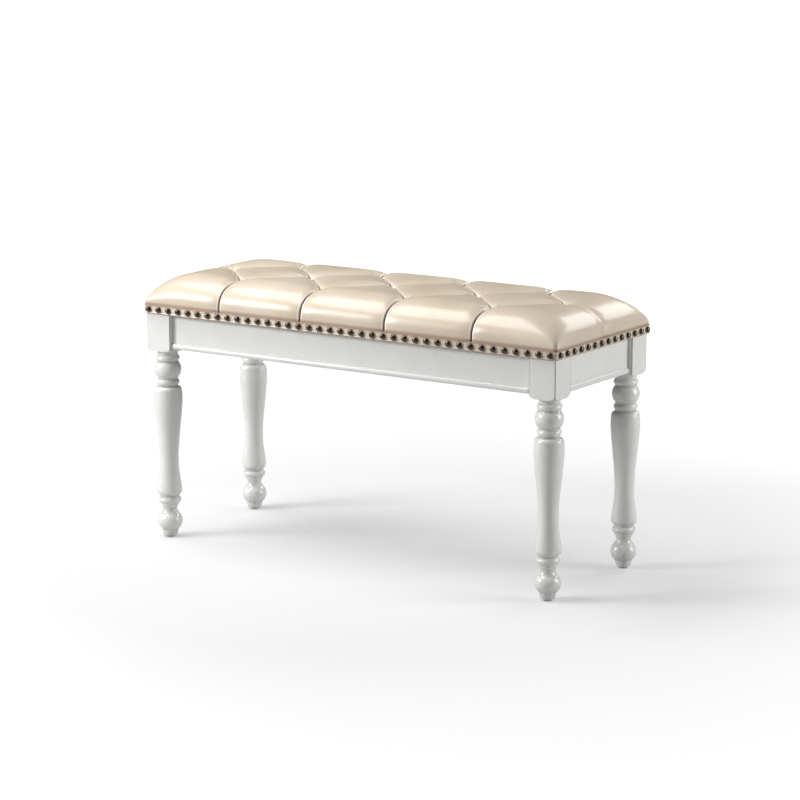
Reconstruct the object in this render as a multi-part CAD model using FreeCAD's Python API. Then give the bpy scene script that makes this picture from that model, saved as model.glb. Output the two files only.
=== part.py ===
"""Upholstered bench with turned legs: a tufted leather seat on a painted wooden frame.

All lengths are in millimetres. X runs along the bench, Y from front to back, Z up.
The origin is on the floor, under the middle of the bench.
"""
import os

import FreeCAD
import Part
from math import atan2, ceil, cos, pi, radians, sin, sqrt, tan

V = FreeCAD.Vector

# Overall seat and height
SEAT_LENGTH = 796.0          # outside the leather band
SEAT_WIDTH = 296.0
BENCH_HEIGHT = 450.0         # floor to the crest of the cushion
CUSHION_RISE = 50.0          # rim of the cushion to its crest
SEAT_OVERHANG = 5.0          # how far the seat stands out past the leg blocks

# Legs
BLOCK_SIDE = 47.0            # square stock
BLOCK_HEIGHT = 64.0
POMMEL_HEIGHT = 7.5          # turned rounding of the block's arrises at its lower end
POMMEL_SHOULDER = 2.5        # the rounding ends this much outside the faces' middles
LEG_SIDES = 18               # flat facets round a turned leg
LEG_INNER_CHAMFER = 7.0      # flat for the hanger bolt, on the inner arris
GLIDE_THICKNESS = 3.0
GLIDE_RADIUS = 8.0
GLIDE_PIN_RADIUS = 1.4
GLIDE_PIN_LENGTH = 14.0

# Turned profile, upper part. A ring or ball is the distance of its middle below the block, half its
# height and how far it stands out of the neck. Any other pair is a radius and a distance below the block.
NECK_RADIUS = 17.5
TOP_RING = (13.0, 5.0, 3.1)
UPPER_BALL = (32.5, 13.6, 5.5)
MIDDLE_RING = (53.6, 4.8, 2.2)
SHOULDER_TOP = 61.7
SHOULDER = (22.6, 67.7)
SHOULDER_SWELL = 1.9
VASE_WIDEST = (23.5, 81.5)
# Between its widest place and its flared foot, the vase turns from round to hollow, and has its waist, at
# these shares of the way down.
VASE_TURN = (20.3, 0.27)
VASE_WAIST = (15.7, 0.68)
# Turned profile, lower part. Heights are above the floor, and a ball stands out of its own fillet.
VASE_FLARE = (20.9, 79.5)
FLARE_EDGE_SWELL = 1.8
GROOVE = (16.0, 72.5)
LOWER_RING = (64.0, 5.2, 3.0)
FILLET = (15.2, 55.4)
COVE_RADIUS = 12.2
COVE_HEIGHT = 48.0
BALL_FILLET = (14.7, 42.0)
LOWER_BALL = (27.6, 13.0, 6.2)
FOOT_TOP_RADIUS = 13.4
FOOT_RADIUS = 9.8
RING_CUTS = 3                # straight cuts that make up the round of a ring
BALL_CUTS = 5
POMMEL_TURN = 60.0           # degrees that the pommel's rounding turns through
LEAST_STEP = 0.4             # shortest step between two profile points
FLATNESS = 0.002             # four corners nearer than this to a plane get one facet

# Aprons and their bead mouldings
APRON_HEIGHT = 58.0
APRON_THICKNESS = 20.0
APRON_SETBACK = 7.5          # from the block face to the apron face
TENON_THICKNESS = 8.0
TENON_LENGTH = 18.0
TENON_SHOULDER = 9.0         # above and below the tenon
JOINT_GAP = 0.1              # glue gap round a tenon
BEAD_HEIGHT = 11.5
BEAD_PROUD = 4.5             # out of the apron face
BEAD_QUIRK = 1.2             # flat edge of the bead behind its round nose
BEAD_CUTS = 6                # straight cuts round the nose
BEAD_END_ROUND = 4.0         # length of the rounding at each end
BEAD_END_DROP = 3.0          # how far the nose falls back at the very end
BEAD_END_CUTS = 2
BEAD_END_GAP = 1.5           # between the bead's round end and the leg block

# Corner blocks and the fixings
CORNER_BLOCK_HEIGHT = 36.0
CORNER_BLOCK_THICKNESS = 24.0
CORNER_BLOCK_DROP = 1.2      # below the top of the frame
CORNER_BLOCK_CLEARANCE = 3.0 # from the leg's flat, so that the bolt can pull up tight
BOLT_RISE = 0.4              # bolt's level, as a share of the corner block's height
BOLT_RADIUS = 3.5
BOLT_IN_LEG = 26.0
BOLT_HOLE_CLEARANCE = 0.4
SCREW_CLEARANCE = 0.1        # round a screw or bolt in its pilot hole
TIP_CLEARANCE = 0.5          # past the tip of a screw or pin in its hole
WASHER_RADIUS = 9.0
WASHER_THICKNESS = 1.6
NUT_ACROSS_FLATS = 13.0
NUT_THICKNESS = 6.0
BOLT_PAST_NUT = 4.0
SCREW_RADIUS = 2.0
SCREW_HEAD_RADIUS = 4.0
SCREW_HEAD_HEIGHT = 2.4
SCREW_BITE = 13.0            # of a screw in an apron
SCREW_RECESS = 3.0           # depth of the flat-bottomed hole for the head
SEAT_SCREW_RADIUS = 2.4
SEAT_SCREW_BITE = 10.0       # of a screw in the seat board
SEAT_SCREW_SHIFT = 9.0       # sideways from the bolt, along X and back along Y
APRON_SCREW_RISE = 9.0       # above the bolt's level

# Seat board, cover and band
COVER_THICKNESS = 1.2
BAND_THICKNESS = 1.0
BAND_HEIGHT = 14.5
BOARD_THICKNESS = 12.0
HEM_WIDTH = 46.0             # leather turned under the board
SOFT_GAP = 0.3               # between a soft piece and what it lies against
DUST_COVER_THICKNESS = 0.6
DUST_COVER_MARGIN = 1.0      # from the aprons and leg blocks

# Tufting: three rows in diamonds
MIDDLE_TUFTS = 5
TUFT_END_MARGIN = 74.0       # from the end of the seat to the first tuft of the middle row
TUFT_SIDE_MARGIN = 64.0      # from the side of the seat to an outer row
MIDDLE_TUFT_DEPTH = 6.0      # below the crest
OUTER_TUFT_DEPTH = 10.0
FOLD_RISE = 2.0              # halfway between two tufts the fold stands this much higher
END_PLEAT_DEPTH = 3.0
SIDE_ROLL = 60.0             # from the rim in to the crest of the side roll
END_ROLL = 80.0
ROLL_START = 1.8             # how softly the roll leaves the crest
ROLL_FULLNESS = 2.6          # how full the roll stays down to the rim
CREST_SHIFT = 14.0           # the roll's crest moves this much towards the rim at an outer tuft
CREST_DIP = 4.0              # the side roll is this much lower beside an outer tuft
PLEAT_HALF_WIDTH = 4.0       # of the straight pleats from the outer tufts to the rims
PLEAT_DEPTH = 2.5            # of a straight pleat at the rim
FOLD_HALF_WIDTH = 1.5
RIM_LIP = 2.0                # the cover stands this much above the band
HILL_CUTS = 3                # straight cuts from a hill down to a fold
ROLL_CUTS = 4                # straight cuts round the side roll
END_CUTS = 4                 # sections round the end roll
TIE_RADIUS = 0.8
TIE_HOLE_RADIUS = 2.0
TUFT_WASHER_RADIUS = 7.0
TUFT_WASHER_THICKNESS = 1.0

# Small bars, holes and nail heads
ROD_SIDES = 8
TIE_SIDES = 6
NAIL_SIDES = 6
NAIL_WAIST = (0.72, 0.7)     # radius and height, as shares, where the dome bends in
NAIL_TIP = 0.3               # share of the radius that is flat on top

# Nails
LONG_SIDE_NAILS = 39
END_NAILS = 14
NAIL_RADIUS = 5.3
NAIL_HEIGHT = 2.0
NAIL_CORNER_MARGIN = 12.0    # from the corner of the band to the last nail

# Staples of the dust cover
STAPLE_WIDTH = 10.0
STAPLE_WIRE = 0.7
STAPLE_SPACING = 62.0
STAPLE_INSET = 7.0           # from the edge of the dust cover

# Places worked out from the sizes above
HALF_LENGTH = SEAT_LENGTH / 2
HALF_WIDTH = SEAT_WIDTH / 2
RIM_HEIGHT = BENCH_HEIGHT - CUSHION_RISE
BAND_TOP = RIM_HEIGHT - RIM_LIP
FRAME_TOP = BAND_TOP - BAND_HEIGHT                   # top of the legs and aprons
LEG_X = HALF_LENGTH - SEAT_OVERHANG - BLOCK_SIDE / 2
LEG_Y = HALF_WIDTH - SEAT_OVERHANG - BLOCK_SIDE / 2
BLOCK_BOTTOM = FRAME_TOP - BLOCK_HEIGHT
APRON_BOTTOM = FRAME_TOP - APRON_HEIGHT
APRON_INSET = APRON_SETBACK + APRON_THICKNESS        # block face to the apron's inner face
BOARD_BOTTOM = FRAME_TOP + COVER_THICKNESS
BOARD_TOP = BOARD_BOTTOM + BOARD_THICKNESS
COVER_HALF_LENGTH = HALF_LENGTH - BAND_THICKNESS
COVER_HALF_WIDTH = HALF_WIDTH - BAND_THICKNESS
LAST_TUFT_X = HALF_LENGTH - TUFT_END_MARGIN
TUFT_PITCH = 2 * LAST_TUFT_X / (MIDDLE_TUFTS - 1)
HALF_PITCH = TUFT_PITCH / 2
ROW_OFFSET = HALF_WIDTH - TUFT_SIDE_MARGIN
CORNERS = {
    "front_left": (-1, -1),
    "front_right": (1, -1),
    "back_left": (-1, 1),
    "back_right": (1, 1),
}


def box(x0, x1, y0, y1, z0, z1):
    """A box between two corners."""
    return Part.makeBox(x1 - x0, y1 - y0, z1 - z0, V(x0, y0, z0))


def prism(points, run):
    """A prism on a closed outline of points."""
    return Part.Face(Part.makePolygon(points + points[:1])).extrude(run)


def round_about(centre, first, second, sides):
    """Corners of a regular outline; first and second are its radius along two directions."""
    turns = [2 * pi * (i + 0.5) / sides for i in range(sides)]
    return [centre + first * cos(t) + second * sin(t) for t in turns]


def rod(radius, start, end, sides=ROD_SIDES):
    """A small bar from one point to another, with as many sides as a round one needs at this scale."""
    run = end - start
    first = run.cross(V(0, 1, 0) if abs(run.z) > abs(run.y) else V(0, 0, 1)).normalize() * radius
    second = run.cross(first).normalize() * radius
    return prism(round_about(start, first, second, sides), run)


def patch(a, b, c, d):
    """Flat facets across four corners: one where they lie in a plane, otherwise two that stand outwards."""
    normal = (b - a).cross(c - a)
    twist = normal.dot(d - a) / max(normal.Length, LEAST_STEP)
    if abs(twist) < FLATNESS:
        return [Part.Face(Part.makePolygon([a, b, c, d, a]))]
    if (a + c).z > (b + d).z:
        return [Part.Face(Part.makePolygon([a, b, c, a])), Part.Face(Part.makePolygon([a, c, d, a]))]
    return [Part.Face(Part.makePolygon([a, b, d, a])), Part.Face(Part.makePolygon([b, c, d, b]))]


def faceted(sections):
    """A solid through closed sections of as many points each, with flat facets between them and flat ends."""
    faces = [Part.Face(Part.makePolygon(ring + ring[:1])) for ring in (sections[0], sections[-1])]
    for near, far in zip(sections, sections[1:]):
        for i in range(len(near)):
            j = (i + 1) % len(near)
            faces += patch(near[i], near[j], far[j], far[i])
    solid = Part.makeSolid(Part.makeShell(faces))
    return solid if solid.Volume > 0 else solid.reversed()


def to_corner(shape, sx, sy):
    """Mirror a shape made for the front left corner to the corner with these signs."""
    if sx > 0:
        shape = shape.mirror(V(0, 0, 0), V(1, 0, 0))
    if sy > 0:
        shape = shape.mirror(V(0, 0, 0), V(0, 1, 0))
    return shape


def circle_middle(p, q, sagitta):
    """Centre of the circle through p and q whose arc stands sagitta to the left of the way from p to q."""
    run = q - p
    left = V(-run.z, 0, run.x).normalize()
    radius = (run.Length ** 2 / 4 + sagitta ** 2) / (2 * sagitta)
    return (p + q) * 0.5 + left * (sagitta - radius)


def round_cuts(p, q, sagitta, cuts):
    """Points from p to q along an arc that stands sagitta to the left of the way, in equal turns; p is left out."""
    centre = circle_middle(p, q, sagitta)
    arm = p - centre
    whole = 2 * atan2((q - p).Length / 2, (arm.Length ** 2 - (q - p).Length ** 2 / 4) ** 0.5)
    step = (-whole if sagitta > 0 else whole) / cuts
    points = []
    for i in range(1, cuts):
        c, s = cos(step * i), sin(step * i)
        points.append(centre + V(arm.x * c - arm.z * s, 0, arm.x * s + arm.z * c))
    return points + [q]


# The legs

def ring(points, middle, half, proud, neck, cuts):
    """Add a turned ring or ball of this middle height and half height that stands out of the neck."""
    top, foot = V(neck, 0, middle + half), V(neck, 0, middle - half)
    if (points[-1] - top).Length > LEAST_STEP:
        points.append(top)
    points += round_cuts(top, foot, proud, cuts)


def levelled_depth(steep, upright):
    """Depth of the arc between two profile points (radius, height) that stands upright at the second one."""
    side = abs(upright[0] - steep[0])
    chord = sqrt(side ** 2 + (upright[1] - steep[1]) ** 2)
    radius = chord ** 2 / (2 * side)
    return radius - sqrt(radius ** 2 - chord ** 2 / 4)


def turned_profile():
    """Profile of the turning below the block, as points: radius in x, height in z."""
    points = [V(NECK_RADIUS, 0, BLOCK_BOTTOM)]

    def add(place, depth, cuts):
        points.extend(round_cuts(points[-1], V(place[0], 0, place[1]), depth, cuts))

    for (below, half, proud), cuts in ((TOP_RING, RING_CUTS), (UPPER_BALL, BALL_CUTS), (MIDDLE_RING, RING_CUTS)):
        ring(points, BLOCK_BOTTOM - below, half, proud, NECK_RADIUS, cuts)
    points.append(V(NECK_RADIUS, 0, BLOCK_BOTTOM - SHOULDER_TOP))
    add((SHOULDER[0], BLOCK_BOTTOM - SHOULDER[1]), SHOULDER_SWELL, 2)
    widest = (VASE_WIDEST[0], BLOCK_BOTTOM - VASE_WIDEST[1])
    vase = widest[1] - VASE_FLARE[1]
    turn = (VASE_TURN[0], widest[1] - vase * VASE_TURN[1])
    waist = (VASE_WAIST[0], widest[1] - vase * VASE_WAIST[1])
    points.append(V(widest[0], 0, widest[1]))
    add(turn, levelled_depth(turn, widest), 2)
    add(waist, -levelled_depth(turn, waist), 2)
    add(VASE_FLARE, -levelled_depth(VASE_FLARE, waist), 3)
    add(GROOVE, FLARE_EDGE_SWELL, 2)
    ring(points, *LOWER_RING, GROOVE[0], RING_CUTS)
    points.append(V(FILLET[0], 0, FILLET[1]))
    points.append(V(COVE_RADIUS, 0, COVE_HEIGHT))
    points.append(V(BALL_FILLET[0], 0, BALL_FILLET[1]))
    ring(points, *LOWER_BALL, BALL_FILLET[0], BALL_CUTS)
    points.append(V(FOOT_TOP_RADIUS, 0, LOWER_BALL[0] - LOWER_BALL[1] - LEAST_STEP))
    points.append(V(FOOT_RADIUS, 0, GLIDE_THICKNESS))
    return points


def turned(profile):
    """A turning about the leg's axis, with LEG_SIDES flat facets round it."""
    return faceted([round_about(V(0, 0, p.z), V(p.x, 0, 0), V(0, p.x, 0), LEG_SIDES) for p in profile])


def pommel_profile():
    """Profile that the square block is turned to at its lower end."""
    clear = BLOCK_SIDE / sqrt(2) / cos(pi / LEG_SIDES) + LEAST_STEP
    start = V(clear, 0, BLOCK_BOTTOM + POMMEL_HEIGHT)
    end = V(BLOCK_SIDE / 2 + POMMEL_SHOULDER, 0, BLOCK_BOTTOM)
    swell = (start - end).Length / 2 * tan(radians(POMMEL_TURN) / 4)
    return [V(clear, 0, FRAME_TOP), start] + round_cuts(start, end, swell, 2)


def bare_leg():
    """One leg on its own axis, before any hole: block and turning."""
    half = BLOCK_SIDE / 2
    block = box(-half, half, -half, half, BLOCK_BOTTOM, FRAME_TOP).common(turned(pommel_profile()))
    return block.fuse(turned(turned_profile()))


def leg():
    """The front left leg, in place, with its mortises, bolt hole and glide hole."""
    shape = bare_leg().translate(V(-LEG_X, -LEG_Y, 0))
    pin_end = V(-LEG_X, -LEG_Y, GLIDE_THICKNESS + GLIDE_PIN_LENGTH)
    cuts = [inner_arris(), front_tenon(JOINT_GAP), end_tenon(JOINT_GAP)]
    cuts.append(bolt_shank(SCREW_CLEARANCE, BOLT_IN_LEG + BOLT_HOLE_CLEARANCE))
    cuts.append(rod(GLIDE_PIN_RADIUS, V(-LEG_X, -LEG_Y, 0), pin_end))
    return shape.cut(cuts)


def inner_arris():
    """What is planed off the inner arris of the front left block for the hanger bolt."""
    x = -LEG_X + BLOCK_SIDE / 2
    y = -LEG_Y + BLOCK_SIDE / 2
    c = LEG_INNER_CHAMFER
    corners = [V(x - c, y, BLOCK_BOTTOM), V(x, y - c, BLOCK_BOTTOM), V(x, y, BLOCK_BOTTOM)]
    return prism(corners, V(0, 0, BLOCK_HEIGHT))


# The aprons

APRON_OUT_Y = LEG_Y + BLOCK_SIDE / 2 - APRON_SETBACK
APRON_OUT_X = LEG_X + BLOCK_SIDE / 2 - APRON_SETBACK
APRON_IN_Y = APRON_OUT_Y - APRON_THICKNESS
APRON_IN_X = APRON_OUT_X - APRON_THICKNESS
LONG_HALF = LEG_X - BLOCK_SIDE / 2       # from the middle to the shoulder of a long apron
SHORT_HALF = LEG_Y - BLOCK_SIDE / 2
TENON_LOW = APRON_BOTTOM + TENON_SHOULDER
TENON_HIGH = FRAME_TOP - TENON_SHOULDER


def front_tenon(gap):
    """The left tenon of the front apron, grown by gap."""
    middle = -(APRON_OUT_Y + APRON_IN_Y) / 2
    half = TENON_THICKNESS / 2 + gap
    end = -LONG_HALF - TENON_LENGTH
    return box(end - gap, -LONG_HALF + gap, middle - half, middle + half, TENON_LOW - gap, TENON_HIGH + gap)


def end_tenon(gap):
    """The front tenon of the left apron, grown by gap."""
    middle = -(APRON_OUT_X + APRON_IN_X) / 2
    half = TENON_THICKNESS / 2 + gap
    end = -SHORT_HALF - TENON_LENGTH
    return box(middle - half, middle + half, end - gap, -SHORT_HALF + gap, TENON_LOW - gap, TENON_HIGH + gap)


def front_apron():
    """The front apron with a tenon at each end and its screw holes."""
    board = box(-LONG_HALF, LONG_HALF, -APRON_OUT_Y, -APRON_IN_Y, APRON_BOTTOM, FRAME_TOP)
    tenon = front_tenon(0)
    board = board.fuse([tenon, to_corner(tenon, 1, -1)])
    hole = front_screw_shank(SCREW_CLEARANCE)
    return board.cut([hole, to_corner(hole, 1, -1)]).removeSplitter()


def left_apron():
    """The left apron with a tenon at each end and its screw holes."""
    board = box(-APRON_OUT_X, -APRON_IN_X, -SHORT_HALF, SHORT_HALF, APRON_BOTTOM, FRAME_TOP)
    tenon = end_tenon(0)
    board = board.fuse([tenon, to_corner(tenon, -1, 1)])
    hole = end_screw_shank(SCREW_CLEARANCE)
    return board.cut([hole, to_corner(hole, -1, 1)]).removeSplitter()


def bead_section(x, proud):
    """Section at x of a bead with a flat back on y = 0 that stands this much out to -Y."""
    back = min(BEAD_QUIRK, proud / 2)
    lower, upper = V(x, -back, 0), V(x, -back, BEAD_HEIGHT)
    middle = V(x, 0, BEAD_HEIGHT / 2)
    nose = []
    for i in range(1, BEAD_CUTS):
        turn = pi * i / BEAD_CUTS
        nose.append(middle + V(0, -back - (proud - back) * sin(turn), -BEAD_HEIGHT / 2 * cos(turn)))
    return [V(x, 0, 0), lower] + nose + [upper, V(x, 0, BEAD_HEIGHT)]


def bead(half_length):
    """A bead moulding along X: a round nose over a small quirk, turned back in a quarter round at each end."""
    run = half_length - BEAD_END_GAP
    right = []
    for i in range(BEAD_END_CUTS + 1):
        turn = pi / 2 * i / BEAD_END_CUTS
        proud = BEAD_PROUD - BEAD_END_DROP * (1 - cos(turn))
        right.append((run - BEAD_END_ROUND * (1 - sin(turn)), proud))
    left = [(-x, proud) for x, proud in reversed(right)]
    return faceted([bead_section(x, proud) for x, proud in left + right])


def front_bead():
    """The bead along the bottom of the front apron."""
    return bead(LONG_HALF).translate(V(0, -APRON_OUT_Y, APRON_BOTTOM))


def left_bead():
    """The bead along the bottom of the left apron."""
    turned = bead(SHORT_HALF).rotate(V(0, 0, 0), V(0, 0, 1), -90)
    return turned.translate(V(-APRON_OUT_X, 0, APRON_BOTTOM))


# Corner blocks and fixings, all for the front left corner

CORNER = V(-APRON_IN_X, -APRON_IN_Y, 0)     # where the inner faces of the two aprons meet
BLOCK_IN = BLOCK_SIDE - APRON_INSET          # how far the leg block stands in past the aprons
NEAR = 2 * BLOCK_IN - LEG_INNER_CHAMFER + CORNER_BLOCK_CLEARANCE * sqrt(2)
FAR = NEAR + CORNER_BLOCK_THICKNESS * sqrt(2)
CORNER_BLOCK_TOP = FRAME_TOP - CORNER_BLOCK_DROP
CORNER_BLOCK_BOTTOM = CORNER_BLOCK_TOP - CORNER_BLOCK_HEIGHT
BOLT_LEVEL = CORNER_BLOCK_BOTTOM + CORNER_BLOCK_HEIGHT * BOLT_RISE
DIAGONAL = V(1, 1, 0) * (1 / sqrt(2))
SCREW_ALONG = (NEAR + FAR) / 2               # from the corner along an apron to its screw
SCREW_LEVEL = BOLT_LEVEL + APRON_SCREW_RISE


def on_diagonal(total, height):
    """The point of the corner's diagonal plane where x and y in from the corner add up to total."""
    return V(CORNER.x + total / 2, CORNER.y + total / 2, height)


BOLT_LEG_END = on_diagonal(2 * BLOCK_IN - LEG_INNER_CHAMFER, BOLT_LEVEL) - DIAGONAL * BOLT_IN_LEG
BOLT_NUT_SEAT = on_diagonal(FAR, BOLT_LEVEL)


def corner_block():
    """The block that braces the corner, with mitred ends on the aprons and its four holes."""
    outline = [(NEAR, 0), (FAR, 0), (0, FAR), (0, NEAR)]
    points = [V(CORNER.x + p, CORNER.y + q, CORNER_BLOCK_BOTTOM) for p, q in outline]
    shape = Part.Face(Part.makePolygon(points + points[:1])).extrude(V(0, 0, CORNER_BLOCK_HEIGHT))
    shape = shape.cut(rod(BOLT_RADIUS + BOLT_HOLE_CLEARANCE, BOLT_LEG_END, BOLT_NUT_SEAT + DIAGONAL))
    for hole in (front_screw_hole(), end_screw_hole(), seat_screw_hole()):
        shape = shape.cut(hole)
    return shape


def bolt_shank(gap, in_leg):
    """The part of the hanger bolt that is in the leg, grown by gap."""
    start = BOLT_LEG_END - DIAGONAL * (in_leg - BOLT_IN_LEG)
    return rod(BOLT_RADIUS + gap, start, BOLT_NUT_SEAT)


def hanger_bolt():
    """Wood screw at one end, machine thread at the other."""
    length = WASHER_THICKNESS + NUT_THICKNESS + BOLT_PAST_NUT
    return rod(BOLT_RADIUS, BOLT_LEG_END, BOLT_NUT_SEAT + DIAGONAL * length)


def bolt_washer():
    """Flat washer between the corner block and the nut."""
    end = BOLT_NUT_SEAT + DIAGONAL * WASHER_THICKNESS
    return rod(WASHER_RADIUS, BOLT_NUT_SEAT, end).cut(hanger_bolt_envelope())


def hanger_bolt_envelope():
    """The bolt grown by its thread clearance."""
    return rod(BOLT_RADIUS + SCREW_CLEARANCE, BOLT_LEG_END, BOLT_NUT_SEAT + DIAGONAL * FAR)


def bolt_nut():
    """Hexagon nut on the hanger bolt."""
    seat = BOLT_NUT_SEAT + DIAGONAL * WASHER_THICKNESS
    across = V(-DIAGONAL.y, DIAGONAL.x, 0)
    corner_radius = NUT_ACROSS_FLATS / sqrt(3)
    ring = []
    for i in range(6):
        turn = radians(60 * i)
        ring.append(seat + across * (corner_radius * cos(turn)) + V(0, 0, corner_radius * sin(turn)))
    prism = Part.Face(Part.makePolygon(ring + ring[:1])).extrude(DIAGONAL * NUT_THICKNESS)
    return prism.cut(hanger_bolt_envelope())


def headed_screw(radius, tip, head, inward):
    """A screw with a pan head: tip and the underside of the head are points, inward points out of the head."""
    shank = rod(radius, tip, head + inward * SCREW_HEAD_HEIGHT / 2)
    return shank.fuse(rod(SCREW_HEAD_RADIUS, head, head + inward * SCREW_HEAD_HEIGHT)).removeSplitter()


SCREW_HEAD_IN = FAR - SCREW_ALONG - SCREW_HEAD_RADIUS - SCREW_RECESS     # from the apron to the screw's head
FRONT_SCREW_TIP = V(CORNER.x + SCREW_ALONG, CORNER.y - SCREW_BITE, SCREW_LEVEL)
FRONT_SCREW_HEAD = V(CORNER.x + SCREW_ALONG, CORNER.y + SCREW_HEAD_IN, SCREW_LEVEL)
END_SCREW_TIP = V(CORNER.x - SCREW_BITE, CORNER.y + SCREW_ALONG, SCREW_LEVEL)
END_SCREW_HEAD = V(CORNER.x + SCREW_HEAD_IN, CORNER.y + SCREW_ALONG, SCREW_LEVEL)
SEAT_SCREW_X = CORNER.x + (NEAR + FAR) / 4 + SEAT_SCREW_SHIFT
SEAT_SCREW_Y = CORNER.y + (NEAR + FAR) / 4 - SEAT_SCREW_SHIFT
SEAT_SCREW_TIP = V(SEAT_SCREW_X, SEAT_SCREW_Y, BOARD_BOTTOM + SEAT_SCREW_BITE)
SEAT_SCREW_HEAD = V(SEAT_SCREW_X, SEAT_SCREW_Y, CORNER_BLOCK_BOTTOM + SCREW_RECESS)


def front_screw_shank(gap):
    """The screw into the front apron, grown by gap, without its head."""
    return rod(SCREW_RADIUS + gap, FRONT_SCREW_TIP, FRONT_SCREW_HEAD)


def end_screw_shank(gap):
    """The screw into the left apron, grown by gap, without its head."""
    return rod(SCREW_RADIUS + gap, END_SCREW_TIP, END_SCREW_HEAD)


def head_hole(head, inward, depth):
    """A flat-bottomed hole for a screw head, open towards inward."""
    return rod(SCREW_HEAD_RADIUS + 2 * SCREW_CLEARANCE, head, head + inward * depth)


def front_screw_hole():
    """Hole of the front screw in the corner block."""
    return front_screw_shank(SCREW_CLEARANCE).fuse(head_hole(FRONT_SCREW_HEAD, V(0, 1, 0), FAR))


def end_screw_hole():
    """Hole of the end screw in the corner block."""
    return end_screw_shank(SCREW_CLEARANCE).fuse(head_hole(END_SCREW_HEAD, V(1, 0, 0), FAR))


def seat_screw_pilot():
    """Hole of the seat screw's shank."""
    return rod(SEAT_SCREW_RADIUS + SCREW_CLEARANCE, SEAT_SCREW_HEAD, SEAT_SCREW_TIP + V(0, 0, TIP_CLEARANCE))


def seat_screw_hole():
    """Hole of the seat screw in the corner block and the seat board."""
    return seat_screw_pilot().fuse(head_hole(SEAT_SCREW_HEAD, V(0, 0, -1), SCREW_RECESS * 2))


def front_screw():
    """The screw through the corner block into the front apron."""
    return headed_screw(SCREW_RADIUS, FRONT_SCREW_TIP, FRONT_SCREW_HEAD, V(0, 1, 0))


def end_screw():
    """The screw through the corner block into the left apron."""
    return headed_screw(SCREW_RADIUS, END_SCREW_TIP, END_SCREW_HEAD, V(1, 0, 0))


def seat_screw():
    """The screw up through the corner block into the seat board."""
    return headed_screw(SEAT_SCREW_RADIUS, SEAT_SCREW_TIP, SEAT_SCREW_HEAD, V(0, 0, -1))


def floor_glide():
    """Nylon glide with its pin, under the front left foot."""
    base = V(-LEG_X, -LEG_Y, 0)
    disc = rod(GLIDE_RADIUS, base, base + V(0, 0, GLIDE_THICKNESS))
    pin = rod(GLIDE_PIN_RADIUS - SCREW_CLEARANCE, base, base + V(0, 0, GLIDE_THICKNESS + GLIDE_PIN_LENGTH - TIP_CLEARANCE))
    return disc.fuse(pin).removeSplitter()


# The cushion: sections across the bench, lofted along it

def roll_share(way):
    """Share of the crest's height over the rim that is left part of the way from the crest out to the rim."""
    return (1 - min(way, 1) ** ROLL_START) ** (1 / ROLL_FULLNESS)


def roll_ways(cuts):
    """Shares of the way out, closer together where the roll comes down steeply."""
    return [1 - (1 - i / cuts) ** 2 for i in range(1, cuts + 1)]


def toward_outer_tuft(x):
    """0 at a tuft of the middle row, 1 at a tuft of the outer rows, and 0 past the last tuft."""
    if abs(x) >= LAST_TUFT_X:
        return 0.0
    along = (abs(x) / HALF_PITCH) % 2
    return along if along <= 1 else 2 - along


def stations():
    """Where along the bench the cushion's sections are, from left to right."""
    right = []
    for tuft in range(MIDDLE_TUFTS - 1):
        x = tuft * HALF_PITCH
        outer = tuft % 2 == 1
        right.append(x)
        if outer:
            right.append(x + PLEAT_HALF_WIDTH)
        right.append(x + HALF_PITCH / 2)
        if not outer:
            right.append(x + HALF_PITCH - PLEAT_HALF_WIDTH)
    right.append(LAST_TUFT_X)
    past = [COVER_HALF_LENGTH - END_ROLL * (1 - way) for way in roll_ways(END_CUTS)]
    right += [x for x in past if x > LAST_TUFT_X + PLEAT_HALF_WIDTH]
    return [-x for x in reversed(right[1:])] + right


def eased(high, low, cuts):
    """Points from high, where the line is level, down to low, in a rounded line; high is left out."""
    points = []
    for i in range(1, cuts + 1):
        t = i / cuts
        points.append(V(high.x, high.y + (low.y - high.y) * t, high.z + (low.z - high.z) * t ** 2))
    return points


def roll(crest, rim):
    """Points of the side roll: it leaves the crest level and comes down to the rim; the crest is left out."""
    out, down = rim.y - crest.y, crest.z - rim.z
    return [V(rim.x, crest.y + out * way, rim.z + down * roll_share(way)) for way in roll_ways(ROLL_CUTS)]


def drawn_in(x, inset):
    """Place of a section at x on a cushion whose ends are drawn in by inset."""
    past = abs(x) - LAST_TUFT_X
    if past <= 0:
        return x
    end_run = COVER_HALF_LENGTH - LAST_TUFT_X
    moved = LAST_TUFT_X + past * (end_run - inset) / end_run
    return moved if x > 0 else -moved


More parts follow.
